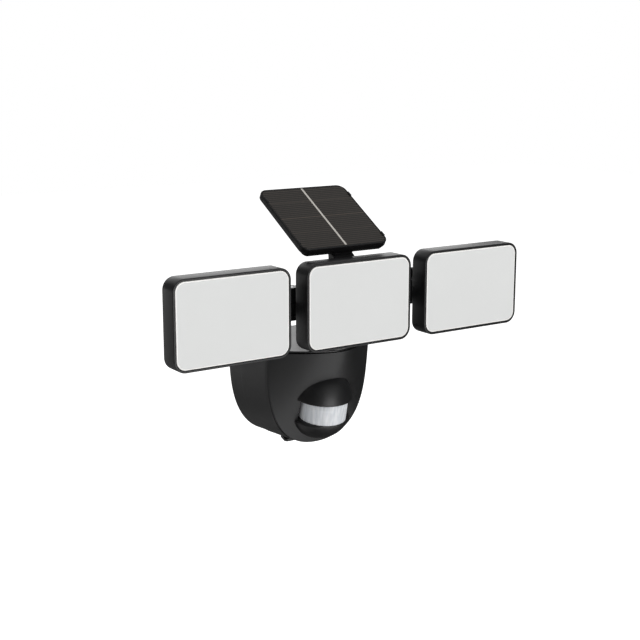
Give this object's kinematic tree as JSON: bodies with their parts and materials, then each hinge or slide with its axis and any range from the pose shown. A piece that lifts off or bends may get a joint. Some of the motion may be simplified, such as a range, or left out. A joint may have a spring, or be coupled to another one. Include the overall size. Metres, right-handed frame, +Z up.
{
  "type": "motion sensor security light",
  "caption": "Wall-mounted solar security light: a housing with a hooded motion sensor, and a mast with tilting lamp heads and a tilting solar panel.",
  "frame": {"origin": "middle of the two wall screws, on the back face of the wall base", "axes": "+Z up, -Y out of the wall towards the viewer, +X to the right as seen from the front"},
  "size_m": [0.3656, 0.141, 0.2485],
  "materials": {
    "black_plastic": "fine moulded texture, satin",
    "lamp_plastic": "fine moulded texture, satin",
    "tray_plastic": "smooth moulded, satin",
    "button_rubber": "soft matt rubber",
    "seal_rubber": "matt rubber",
    "opal_diffuser": "opal acrylic, satin",
    "sensor_window": "milky polyethylene",
    "led_board": "white solder mask",
    "circuit_board": "green solder mask",
    "sensor_can": "plated can",
    "cell_wrap": "shrink wrap",
    "holder_plastic": "moulded, matt",
    "screw_steel": "zinc plated",
    "solar_cells": "cells under clear resin",
    "cell_ribbon": "tinned ribbon under the resin"
  },
  "bodies": {
    "root": {"wall_base": "black_plastic", "body_shell": "black_plastic", "front_cover": "black_plastic", "cover_seal": "seal_rubber", "sensor_lens": "sensor_window", "pir_sensor": "sensor_can", "control_board": "circuit_board", "battery_cells": "cell_wrap", "battery_holder": "holder_plastic", "cover_screws": "screw_steel", "locking_screw": "screw_steel", "mast": "black_plastic", "mast_seal": "seal_rubber", "mast_screws": "screw_steel", "centre_tilt_pin": "screw_steel", "left_swing_pin": "screw_steel", "right_swing_pin": "screw_steel"},
    "button": {"mode_button": "button_rubber"},
    "left_arm": {"left_knuckle": "black_plastic"},
    "right_arm": {"right_knuckle": "black_plastic"},
    "left_lamp": {"left_case": "lamp_plastic", "left_leds": "led_board", "left_diffuser": "opal_diffuser", "left_screws": "screw_steel", "left_tilt_pin": "screw_steel"},
    "centre_lamp": {"centre_case": "lamp_plastic", "centre_leds": "led_board", "centre_diffuser": "opal_diffuser", "centre_screws": "screw_steel"},
    "right_lamp": {"right_case": "lamp_plastic", "right_leds": "led_board", "right_diffuser": "opal_diffuser", "right_screws": "screw_steel", "right_tilt_pin": "screw_steel"},
    "panel": {"panel_tray": "tray_plastic", "solar_plate": "solar_cells", "panel_ribbon": "cell_ribbon", "panel_bracket": "black_plastic", "panel_screws": "screw_steel", "panel_pin": "screw_steel"}
  },
  "joints": [
    {"name": "centre_tilt", "type": "hinge", "parent": "root", "child": "centre_lamp", "pos_m": [0, -0.1095, 0.098], "axis": [1, 0, 0], "range_deg": [-5, 34]},
    {"name": "left_swing", "type": "hinge", "parent": "root", "child": "left_arm", "pos_m": [-0.05, -0.103, 0.098], "axis": [0, 0, 1], "range_deg": [-55, 15]},
    {"name": "right_swing", "type": "hinge", "parent": "root", "child": "right_arm", "pos_m": [0.05, -0.103, 0.098], "axis": [0, 0, -1], "range_deg": [-55, 15]},
    {"name": "left_tilt", "type": "hinge", "parent": "left_arm", "child": "left_lamp", "pos_m": [-0.088, -0.1085, 0.098], "axis": [1, 0, 0], "range_deg": [-20, 50]},
    {"name": "right_tilt", "type": "hinge", "parent": "right_arm", "child": "right_lamp", "pos_m": [0.088, -0.1085, 0.098], "axis": [1, 0, 0], "range_deg": [-20, 50]},
    {"name": "panel_tilt", "type": "hinge", "parent": "root", "child": "panel", "pos_m": [0, -0.1125, 0.1305], "axis": [1, 0, 0], "range_deg": [-31, 18]},
    {"name": "mode_button_press", "type": "slide", "parent": "root", "child": "button", "axis": [0, 0, 1], "range_m": [0, 0.0015], "stiffness_N_per_m": 800, "springref_m": -0.0004}
  ]
}
